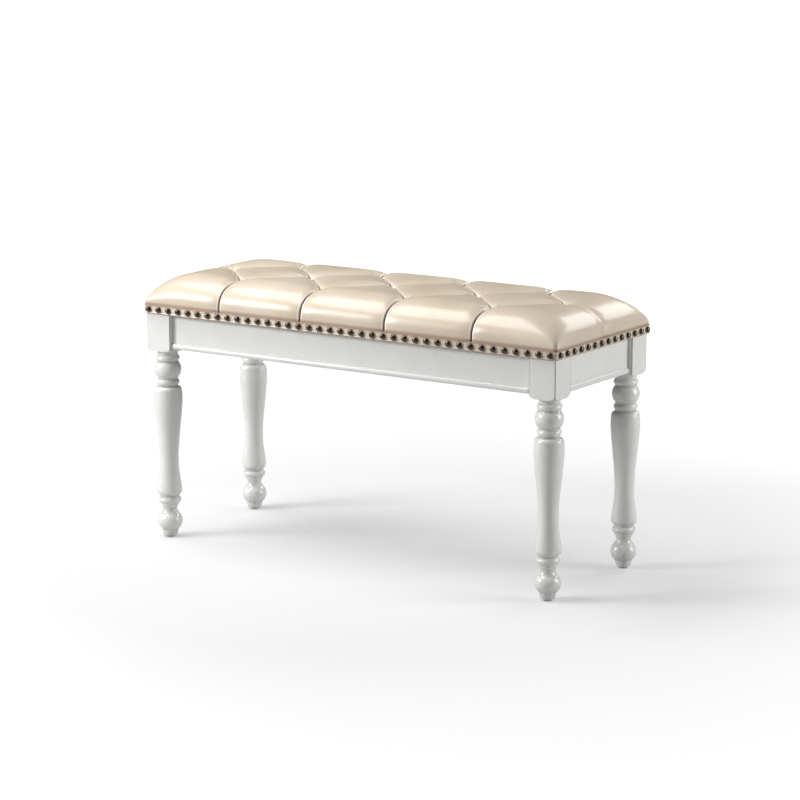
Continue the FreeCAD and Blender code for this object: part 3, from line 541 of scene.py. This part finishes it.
# %% The leather's surface
def plain_cushion(x, y):
    """The cushion before tufting: rim + rise * side roll * end roll, with the corners of
    its plan drawn in to a round."""
    side = roll_share((np.abs(y) - HALF_WIDTH + SIDE_ROLL) / SIDE_ROLL)
    end = roll_share((np.abs(x) - HALF_LENGTH + END_ROLL) / END_ROLL)
    inside = np.stack([np.abs(x) - HALF_LENGTH, np.abs(y) - HALF_WIDTH], -1) + CORNER_ROUND
    over = np.clip(inside, 0, None)
    longest = over.max(-1)
    reach = np.hypot(over[..., 0], over[..., 1])
    squeeze = np.where(longest > 0, longest / np.maximum(reach, 1e-9), 1)
    px = np.sign(x) * (np.abs(x) - over[..., 0] * (1 - squeeze))
    py = np.sign(y) * (np.abs(y) - over[..., 1] * (1 - squeeze))
    return np.stack([px, py, RIM + RISE * side * end], -1)


def outward(points):
    """Unit normals of a grid of points: the cross product of its two directions."""
    normal = np.cross(np.gradient(points, axis=0), np.gradient(points, axis=1))
    return normal / np.maximum(np.linalg.norm(normal, axis=-1, keepdims=True), 1e-12)


def beside(distance):
    """1 on the rounded lip 3.4 mm beside a fold, where the painted highlight goes: exp(-((d -
    3.4) / 1.3) ** 2).
    """
    return np.exp(-((distance - 3.4) / 1.3) ** 2)


def tufted():
    """Points of the leather, and for each one, from 0 to 1, how brown the painted shade is
    in a crease, above the rim and round a tie, and how pale the painted highlight is on the
    lip beside a fold."""
    x, y = ALONG, ACROSS
    base = plain_cushion(x, y)
    fold, fold_away, share = folds(x, y)
    pleat, pleat_away = pleats(x, y)
    ripple, tie_away = wrinkles(x, y)
    deep = (fold ** 4 + pleat ** 4 + end_pleats(x, y) ** 4) ** 0.25
    deep = deep + ripple + 4.5 * np.exp(-(tie_away / 13) ** 2)
    points = base - outward(base) * deep[..., None]
    rising = np.gradient(share, axis=0) * np.sign(y) > 0
    strong = (0.25 + 0.75 * np.abs(2 * share - 1) ** 1.5) * np.where(rising, 0.4, 1.0)
    strong = np.where(np.abs(x) > LAST_TUFT, 0.0, strong)
    # Painted shade: brown along the folds and the pleats, just above the rim and round each tie.
    fold_shade = strong * np.exp(-(fold_away / 1.7) ** 2)
    pleat_shade = (np.abs(y) > ROW - 2) * np.exp(-(pleat_away / 1.35) ** 2)
    rim_shade = 0.5 * np.exp(-(points[..., 2] - RIM) / 1.6)
    tie_shade = 0.8 * np.exp(-(tie_away / 4.5) ** 2)
    # Painted highlight: pale on the rounded lips beside the folds and the pleats.
    lip_highlight = np.maximum(strong * beside(fold_away), beside(pleat_away) * (np.abs(y) > ROW - 6))
    return points, np.max([fold_shade, pleat_shade, rim_shade, tie_shade], 0), lip_highlight


LEATHER_POINTS, CREASE_SHADE, LIP_HIGHLIGHT = tufted()
lowest, highest = LEATHER_POINTS.min((0, 1)), LEATHER_POINTS.max((0, 1))
print("leather from", lowest.round(1), "to", highest.round(1))

# %% [markdown]
# From the rim the leather goes down behind the nail band, turns under the board as a hem and
# closes round the board, so the piece is one closed shell with the board free below it.

# %% The hem and the closed shell
def rim_numbers(rows, columns):
    """Point numbers once round the edge of the grid."""
    number = np.arange(rows * columns).reshape(rows, columns)
    return np.concatenate([number[:, 0], number[-1, 1:], number[-2::-1, -1], number[0, -2:0:-1]])


SIDE_LEVEL = 392.0           # halfway down behind the band
HEM_LOW, HEM_HIGH = 383.6, 384.6
HEM_EDGE = (351.0, 101.0)    # half sizes of the opening that the hem leaves
LINING = (395.3, 145.3)      # half sizes of the leather's inner side, round the board
LINING_LEVEL = 397.2


def leather_shell():
    """The tufted top, and below it rings of points: the sides, the hem and the inner side."""
    rows, columns = CREASE_SHADE.shape
    rim = rim_numbers(rows, columns)
    edge = LEATHER_POINTS.reshape(-1, 3)[rim]
    outside = np.array([397.0, 147.0])

    def ring(half, level):
        spots = edge[:, :2] * (np.array(half) / outside)
        return np.column_stack([spots, np.full(len(edge), level)])

    down = [
        ring(outside, SIDE_LEVEL),
        ring(outside, HEM_LOW + 0.1),
        ring(HEM_EDGE, HEM_LOW),
        ring(HEM_EDGE, HEM_HIGH),
        ring(LINING, HEM_HIGH),
        ring(LINING, LINING_LEVEL),
    ]
    points = np.concatenate([LEATHER_POINTS.reshape(-1, 3)] + down)
    first = rows * columns
    count = len(rim)
    rings = [rim] + [first + k * count + np.arange(count) for k in range(len(down))]
    faces = strip_faces(rows, columns)[:, ::-1].tolist()
    for high, low in zip(rings[:-1], rings[1:]):
        quads = np.stack([high, np.roll(high, -1), np.roll(low, -1), low], -1)
        faces += quads[:, ::-1].tolist()
    faces.append(rings[-1][::-1].tolist())
    return points, faces


shell_points, shell_faces = leather_shell()
leather = make_piece("pearl_leather_seat", shell_points, shell_faces)
# The sides, hem and inner side of the shell take a third of the brown painted shade, and no
# painted highlight.
for name, grid, elsewhere in (("crease", CREASE_SHADE, 0.35), ("lip_highlight", LIP_HIGHLIGHT, 0.0)):
    marks = np.full(len(shell_points), elsewhere)
    marks[:grid.size] = grid.ravel()
    keep_numbers(leather, name, marks)
dress(leather, PEARL, "pearl_leather", "leather_cover", "foam_pad")

# %% [markdown]
# A strip of the same leather hides the tacks that hold the cover. It is carried round the seat
# as one profile: a small roll along each edge and fine ribs between, with rounded corners.

# %% The band under the nails
def seat_path(out, corner, steps=10):
    """Points and outward directions once round a rectangle of half sizes out, with round
    corners."""
    turn = np.linspace(0, np.pi / 2, steps)
    arc = np.column_stack([np.cos(turn), np.sin(turn)])
    quarter = [(1, 1), (-1, 1), (-1, -1), (1, -1)]
    spots, ways = [], []
    for k, (sx, sy) in enumerate(quarter):
        c, s = np.cos(k * np.pi / 2), np.sin(k * np.pi / 2)
        way = arc @ np.array([[c, s], [-s, c]])
        middle = np.array([sx * (out[0] - corner), sy * (out[1] - corner)])
        spots.append(middle + corner * way)
        ways.append(way)
    return np.concatenate(spots), np.concatenate(ways)


BAND_LOW, BAND_HIGH = 383.6, 398.0
BAND_OUT, BAND_CORNER = (398.0, 148.0), 6.0
BAND_SINK = 0.95             # of the strip's face behind that rectangle
BAND_BACK = 1.6              # of its back


def band_profile():
    """Height and depth of the strip's face: rolls 0.75 mm proud at both edges, and seven
    ribs between, 0.13 * cos(turn) mm."""
    s = np.linspace(0, 1, 41)
    height = BAND_LOW + (BAND_HIGH - BAND_LOW) * s
    edge = np.minimum(s, 1 - s) * (BAND_HIGH - BAND_LOW)
    roll = 0.75 * np.exp(-((edge - 1.1) / 0.7) ** 2)
    ribs = 0.13 * np.cos(s * 2 * np.pi * 7) * np.clip(edge / 3, 0, 1)
    return height, -BAND_SINK + roll + ribs


def leather_band():
    """The profile and its flat back, carried once round the seat."""
    height, depth = band_profile()
    height = np.concatenate([height, [BAND_HIGH - 0.1, BAND_LOW + 0.1]])
    depth = np.concatenate([depth, [-BAND_BACK, -BAND_BACK]])
    spots, ways = seat_path(BAND_OUT, BAND_CORNER)
    flat = spots[:, None] + ways[:, None] * depth[None, :, None]
    level = np.broadcast_to(height[None, :, None], flat.shape[:2] + (1,))
    points = np.concatenate([flat, level], -1)
    count, around = points.shape[:2]
    faces = strip_faces(count + 1, around, around=True) % (count * around)
    return points.reshape(-1, 3), faces[:, ::-1].tolist()


band_points, band_faces = leather_band()
band = make_piece("nail_band", band_points, band_faces)
band_middle, band_half = (BAND_LOW + BAND_HIGH) / 2, (BAND_HIGH - BAND_LOW) / 2
to_edge = np.abs(band_points[:, 2] - band_middle) / band_half
# Painted shade: brown lines along both edges of the band, and a fainter one where each edge roll
# meets the ribs.
painted_light = 0.8 * (to_edge > 0.9) + 0.4 * np.exp(-((to_edge - 0.66) / 0.05) ** 2)
keep_numbers(band, "crease", painted_light)
dress(band, PEARL, "pearl_leather", "leather_band")

# %% [markdown]
# The 106 nails are one dome repeated. A dome of five rings is enough at this size, because its
# smooth shading hides the facets; only the places along the band differ.

# %% Dome-head nails
NAIL_RADIUS, NAIL_HEIGHT, NAIL_LEVEL = 5.3, 3.6, 390.75


def dome(sides=12):
    """Rings of a shallow dome on the plane z = 0: radius r * cos(t) ** 0.9 and height
    h * (0.12 + 0.88 * sin(t) ** 1.1), over a small rolled edge."""
    turn = np.radians([0, 24, 48, 72])
    radius = NAIL_RADIUS * np.concatenate([[0.97], np.cos(turn) ** 0.9])
    height = NAIL_HEIGHT * np.concatenate([[0.0], 0.12 + 0.88 * np.sin(turn) ** 1.1])
    around = np.linspace(0, 2 * np.pi, sides, endpoint=False)
    ring = np.stack([np.cos(around), np.sin(around), np.zeros(sides)], -1)
    rings = ring[None] * radius[:, None, None]
    rings[..., 2] = height[:, None]
    return tube(rings)


def nail_row(name, count, half_run, place, across, up, out):
    """Domes at even steps along a line through place; across, up and out are the
    directions that the dome's x, y and z turn into."""
    points, faces = dome()
    turned = points @ np.array([across, up, out], float)
    steps = np.linspace(-half_run, half_run, count)
    spots = np.array(place, float) + steps[:, None] * np.abs(np.array(across, float))
    all_points = (turned[None] + spots[:, None]).reshape(-1, 3)
    all_faces = [[k + n * len(points) for k in face] for n in range(count) for face in faces]
    row = make_piece(name, all_points, all_faces)
    keep_numbers(row, "crown", np.tile(points[:, 2] / NAIL_HEIGHT, count))
    return row


BAND_FACE = (398.2, 148.2)   # where the nails stand on the band
LONG_ROW, END_ROW = (39, 386.0), (14, 136.0)
UP = (0, 0, 1)
ROWS = {
    "front": (*LONG_ROW, (0, -BAND_FACE[1], NAIL_LEVEL), (1, 0, 0), UP, (0, -1, 0)),
    "back": (*LONG_ROW, (0, BAND_FACE[1], NAIL_LEVEL), (-1, 0, 0), UP, (0, 1, 0)),
    "left": (*END_ROW, (-BAND_FACE[0], 0, NAIL_LEVEL), (0, -1, 0), UP, (-1, 0, 0)),
    "right": (*END_ROW, (BAND_FACE[0], 0, NAIL_LEVEL), (0, 1, 0), UP, (1, 0, 0)),
}
for side, layout in ROWS.items():
    domes = nail_row(side + "_nails_domes", *layout)
    dress(domes, BRASS, "antique_nail", side + "_nails")

# %% [markdown]
# The legs are turned from square stock. A lathe cuts every profile round, so a leg is its
# profile swung about the axis; the square block at the top is the part that the lathe left.
# One formula covers both, and also the rounded shoulder between them where the tool ran out
# of the square: the radius is the least of the profile and the square, joined softly.

# %% Profile of the turning
BLOCK_LOW, BLOCK_HIGH, BLOCK_HALF = 319.5, 383.5, 23.5
NECK = 16.9


def arc(start, end, proud, count=9):
    """Points (radius, height) from start to end on a circle that stands proud of the straight
    line; its radius is chord ** 2 / (8 proud) + proud / 2. The start is left out."""
    start, end = np.array(start, float), np.array(end, float)
    run = end - start
    chord = np.hypot(*run)
    side = np.array([-run[1], run[0]]) / chord
    radius = chord ** 2 / (8 * abs(proud)) + abs(proud) / 2
    half = np.arcsin(chord / 2 / radius)
    turn = np.linspace(-half, half, count)[1:]
    along = (radius * np.sin(turn) / chord + 0.5)[:, None]
    out = np.sign(proud) * radius * (np.cos(turn) - np.cos(half))
    return start + along * run + out[:, None] * side


def smooth_line(knots, count=40):
    """Smooth curve through knots (radius, height): a cubic between neighbours, with the
    knots' mean slopes."""
    radius, height = np.array(knots, float).T
    slope = np.gradient(radius, height)
    z = np.linspace(height[0], height[-1], count)[1:]
    k = np.clip(np.searchsorted(-height, -z, side="right") - 1, 0, len(height) - 2)
    gap = height[k + 1] - height[k]
    t = (z - height[k]) / gap
    r = (2 * t ** 3 - 3 * t ** 2 + 1) * radius[k] + (t ** 3 - 2 * t ** 2 + t) * gap * slope[k]
    r = r + (3 * t ** 2 - 2 * t ** 3) * radius[k + 1] + (t ** 3 - t ** 2) * gap * slope[k + 1]
    return np.column_stack([r, z])


def swelling(middle, half, proud, neck, count=11):
    """A ring or ball of the turning: its two ends on the neck and an arc between."""
    top, foot = (neck, middle + half), (neck, middle - half)
    return np.concatenate([[top], arc(top, foot, proud, count)])


VASE = [(22.9, 250.8), (23.5, 246.0), (23.8, 238.0), (22.3, 214.0), (20.0, 191.0), (17.4, 165.0),
        (15.9, 138.7), (15.9, 125.5), (16.7, 112.4), (18.5, 99.3), (20.3, 86.1), (20.9, 79.5)]


def turning():
    """The whole profile from the block's underside to the foot, as rows (radius, height)."""
    parts = [
        [[NECK, BLOCK_LOW], [NECK, 312.0]],
        swelling(306.4, 5.0, 3.1, NECK),
        swelling(287.0, 13.8, 5.5, NECK, 15),
        swelling(265.9, 4.8, 2.3, NECK),
        [[16.6, 259.4], [16.8, 258.2]],
        arc((16.8, 258.2), (22.9, 250.8), 2.0, 8),
        smooth_line(VASE, 44),
        arc((20.9, 79.5), (19.0, 75.2), 0.6, 5),
        arc((19.0, 75.2), (16.0, 72.4), 0.4, 4),
        swelling(64.1, 5.2, 3.0, 16.0),
        [[15.1, 58.0], [15.1, 55.4]],
        arc((15.1, 55.4), (14.7, 41.6), -3.0, 12),
        swelling(27.6, 13.2, 6.2, 14.7, 15),
        [[14.0, 13.9], [13.6, 11.5], [12.6, 7.0], [11.0, 3.1]],
    ]
    return np.concatenate([np.asarray(part, float) for part in parts])


def pommel():
    """Rows (radius, height) that cut the block: far outside its arrises at first, then the
    rounding, which ends at a radius of 25.6 mm at the block's foot."""
    start = (33.9, BLOCK_LOW + 7.8)
    clear = [(60.0, BLOCK_HIGH), (60.0, 350.0), (40.0, BLOCK_LOW + 9.0), start]
    return np.concatenate([clear, arc(start, (25.6, BLOCK_LOW), 1.7, 14)])


# %% The leg about its own axis
SQUARENESS = 70


def leg_rings(quarter_steps=22):
    """Rings of the leg. Radius of the block's rows, with p = squareness:
    ((cos / half) ** p + (sin / half) ** p + profile ** -p) ** (-1 / p)."""
    s = np.linspace(-1, 1, quarter_steps, endpoint=False)
    quarter = np.pi / 4 * np.sin(s * np.pi / 2)
    turn = (quarter[None] + np.arange(4)[:, None] * np.pi / 2).ravel()
    block, turned = pommel(), turning()
    p = SQUARENESS
    square = (np.abs(np.cos(turn)) / BLOCK_HALF) ** p + (np.abs(np.sin(turn)) / BLOCK_HALF) ** p
    block_radius = (square[None] + block[:, :1] ** -p) ** (-1 / p)
    turned_radius = np.broadcast_to(turned[:, :1], (len(turned), len(turn)))
    radius = np.concatenate([block_radius, turned_radius])
    height = np.concatenate([block[:, 1], turned[:, 1]])
    level = np.broadcast_to(height[:, None], radius.shape)
    return np.stack([radius * np.cos(turn), radius * np.sin(turn), level], -1)


def groove_depth(profile):
    """0 to 1: how far a point of the profile lies inside the mean of the radii 4 mm above
    and below it."""
    radius, height = profile[::-1].T
    around = (np.interp(height + 4, height, radius) + np.interp(height - 4, height, radius)) / 2
    return np.clip((around - radius) / 3.0, 0, 1)[::-1]


def arris_and_groove_shade(rings):
    """Painted shade on the lacquer: a dark line down the arrises of the block, and darker
    grooves between the rings."""
    radius = np.hypot(rings[..., 0], rings[..., 1])
    turn = np.arctan2(rings[..., 1], rings[..., 0])
    corner = np.abs(np.mod(turn, np.pi / 2) - np.pi / 4)
    arris = np.exp(-(corner / 0.02) ** 2) * (rings[..., 2] > BLOCK_LOW + 3)
    profile = turning()
    hollow = np.interp(rings[..., 2], profile[::-1, 1], groove_depth(profile)[::-1])
    return np.maximum(arris, 0.3 * np.where(radius < BLOCK_HALF + 0.5, hollow, 0.0))


def leg_piece(name, x, y):
    """A leg that stands on the floor at x, y."""
    rings = leg_rings()[::-1]
    points, faces = tube(rings + np.array([x, y, 0]))
    leg = make_piece(name, points, faces)
    keep_numbers(leg, "arris_and_groove_shade", arris_and_groove_shade(rings))
    leg.data.set_sharp_from_angle(angle=radians(38))
    return leg


LEG_X, LEG_Y = 369.5, 119.5
for corner, (sx, sy) in CORNERS.items():
    leg = leg_piece(corner + "_turned_leg", sx * LEG_X, sy * LEG_Y)
    dress(leg, LACQUER, "painted_wood", corner + "_leg")

# %% [markdown]
# A bead runs along the foot of each apron. It is planed from a strip: a round nose with a small
# square step above it that throws the thin shadow line, and its ends are rounded over by hand.

# %% Beads
NOSE_HALF = 4.6              # of the height of the round nose
STEP, PROUD = 1.2, 4.5       # out of the apron, of the step and of the nose
END_LENGTH = 4.0             # of the rounding at each end


def bead_piece(name, node, out, run):
    """Depth of the nose = step + (proud - step) * sqrt(1 - s ** 2), with s from -1 to 1 up its
    height; both shrink over the last 4 mm of the length."""
    low, high = (np.array(corner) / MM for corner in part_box(node))
    axis = int(np.argmax(np.abs(run)))
    face = int(np.argmax(np.abs(out)))
    half = (high[axis] - low[axis]) / 2
    middle = (high[axis] + low[axis]) / 2
    end = END_LENGTH * (1 - np.cos(np.linspace(0, np.pi / 2, 9)))
    places = np.concatenate([-half + end, half - end[::-1]])
    near = np.clip((half - np.abs(places)) / END_LENGTH, 0, 1)
    drawn = np.sqrt(1 - (1 - near) ** 2)
    s = np.linspace(-1, 1, 17)
    nose = np.sqrt(1 - s ** 2)
    core = low[2] + NOSE_HALF
    level = np.concatenate([core + NOSE_HALF * s, [core + NOSE_HALF, high[2], high[2]]])
    depth = np.concatenate([STEP + (PROUD - STEP) * nose, [STEP, STEP, 0.0]])
    level, depth = np.append(level, low[2]), np.append(depth, 0.0)
    ring = np.zeros((len(places), len(level), 3))
    ring[..., axis] = middle + places[:, None]
    back = low[face] if out[face] > 0 else high[face]
    proud = depth[None] * (0.35 + 0.65 * drawn[:, None]) - 0.05
    ring[..., face] = back + out[face] * proud
    ring[..., 2] = level[None] + (core - level[None]) * 0.25 * (1 - drawn[:, None])
    points, faces = tube(ring)
    piece = make_piece(name, points, faces)
    piece.data.set_sharp_from_angle(angle=radians(40))
    return piece


BEADS = {
    "front": ((0, -1, 0), (1, 0, 0)),
    "back": ((0, 1, 0), (1, 0, 0)),
    "left": ((-1, 0, 0), (0, 1, 0)),
    "right": ((1, 0, 0), (0, 1, 0)),
}
for side, (out, run) in BEADS.items():
    bead = bead_piece(side + "_bead_moulding", side + "_bead", out, run)
    dress(bead, LACQUER, "painted_wood", side + "_bead")

# %% [markdown]
# The dust cover is a sheet of thin black non-woven cloth, stapled under the board and cut out
# round the leg blocks. Cloth on staples hangs a little between them, so it has a slight sag.

# %% Dust cover
NOTCH = (345.0, 95.0)        # half sizes between the notches for the leg blocks
SAG = 1.5
CLOTH_THICKNESS = 0.5


def dust_sheet():
    """Grid over the sheet with its corner notches left out; the sag is a cosine each way.
    Gives the points, the faces, and the flat length, width and area."""
    low, high = (np.array(corner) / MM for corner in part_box("dust_cover"))
    x = np.concatenate([[low[0]], np.linspace(-NOTCH[0], NOTCH[0], 61), [high[0]]])
    y = np.concatenate([[low[1]], np.linspace(-NOTCH[1], NOTCH[1], 21), [high[1]]])
    gx, gy = np.meshgrid(x, y, indexing="ij")
    sag = SAG * np.cos(gx / high[0] * np.pi / 2) * np.cos(gy / high[1] * np.pi / 2)
    points = np.stack([gx, gy, low[2] + 0.3 - sag], -1).reshape(-1, 3)
    faces = strip_faces(len(x), len(y))
    cx, cy = np.abs(points[faces].mean(1)[:, :2]).T
    kept = faces[~((cx > NOTCH[0]) & (cy > NOTCH[1]))]
    used = np.unique(kept)
    length, width = x[-1] - x[0], y[-1] - y[0]
    area = length * width - 4 * (x[-1] - NOTCH[0]) * (y[-1] - NOTCH[1])
    return points[used], np.searchsorted(used, kept)[:, ::-1].tolist(), length, width, area


sheet_points, sheet_faces, flat_length, flat_width, flat_area = dust_sheet()
sheet = make_piece("dust_cover_cloth", sheet_points, sheet_faces)
thick = sheet.modifiers.new("thickness", "SOLIDIFY")
thick.thickness = CLOTH_THICKNESS * MM
thick.offset = 0
dress(sheet, CLOTH, "dust_cloth", "dust_cover")
flat_length * MM
flat_width * MM
flat_area * MM * MM

# %% [markdown]
# The studio: white paper, large soft lights, and a camera where the eye of the picture was.
# Large lights matter here, because satin leather and lacquer show them as broad highlights.

# %% Floor, light and camera
def floor():
    """White paper that runs out into a white backdrop: its glow grows with the distance from
    the bench, and only the eye sees it, so it doesn't light the bench from below."""
    far = 40000.0
    corners = [(-far, -far, 0), (-far, far, 0), (far, -far, 0), (far, far, 0)]
    plane = make_piece("studio_floor", corners, strip_faces(2, 2)[:, ::-1].tolist(), smooth=False)
    paper = Finish("studio_paper")
    length = {"operation": "LENGTH"}
    away = paper.node("ShaderNodeVectorMath", length, {0: paper.place()}, output=1)
    seen = paper.node("ShaderNodeLightPath", {}, {})
    glow = paper.mix(away.between(0.6, 2.4), (0.34, 0.34, 0.34, 1), (1.0, 1.0, 1.0, 1))
    shown = paper.mix(seen, (0.0, 0.0, 0.0, 1), glow)
    finish = paper.shade(
        Base_Color=colour(188, 188, 188),
        Roughness=0.95,
        Emission_Color=shown,
        Emission_Strength=1.0,
    )
    plane.data.materials.append(finish)


def soft_light(name, place, size, power, aim=(0, 0, 0.3)):
    """A rectangular light of so many watts that looks from its place to its aim."""
    lamp = bpy.data.lights.new(name, "AREA")
    lamp.shape = "RECTANGLE"
    lamp.size, lamp.size_y = size
    lamp.energy = power
    holder = bpy.data.objects.new(name, lamp)
    holder.location = place
    way = np.array(aim) - np.array(place)
    yaw = np.arctan2(way[1], way[0]) - np.pi / 2
    tilt = np.arctan2(np.hypot(way[0], way[1]), -way[2])
    holder.rotation_euler = (tilt, 0, yaw)
    bpy.context.scene.collection.objects.link(holder)


floor()
soft_light("overhead", (-0.8, -0.4, 2.1), (1.7, 1.1), 36, (0, 0, 0.42))
soft_light("back_window", (0.6, 2.3, 1.7), (1.7, 0.8), 20, (0, 0, 0.42))
soft_light("left_window", (-1.9, -1.75, 1.3), (1.0, 0.7), 50)
soft_light("right_window", (2.3, 1.0, 0.9), (1.1, 1.3), 30)


def studio_world():
    """Dim white all round, and plain white where nothing stands before it."""
    world = bpy.data.worlds.new("studio")
    world.use_nodes = True
    tree = world.node_tree
    backdrop = next(n for n in tree.nodes if n.type == "BACKGROUND")
    seen = tree.nodes.new("ShaderNodeLightPath")
    level = tree.nodes.new("ShaderNodeMapRange")
    level.inputs["To Min"].default_value = 0.12
    level.inputs["To Max"].default_value = 1.0
    tree.links.new(seen.outputs["Is Camera Ray"], level.inputs["Value"])
    tree.links.new(level.outputs[0], backdrop.inputs["Strength"])
    backdrop.inputs["Color"].default_value = (1.0, 1.0, 1.0, 1.0)
    return world


bpy.context.scene.world = studio_world()
bpy.context.scene.view_settings.view_transform = "Standard"

lens = bpy.data.cameras.new("camera")
lens.lens = 129.786
camera = bpy.data.objects.new("camera", lens)
camera.location = (2.56676, -3.84491, 1.18654)
camera.rotation_euler = (radians(90 - 11.394), 0, radians(33.562))
bpy.context.scene.collection.objects.link(camera)
bpy.context.scene.camera = camera
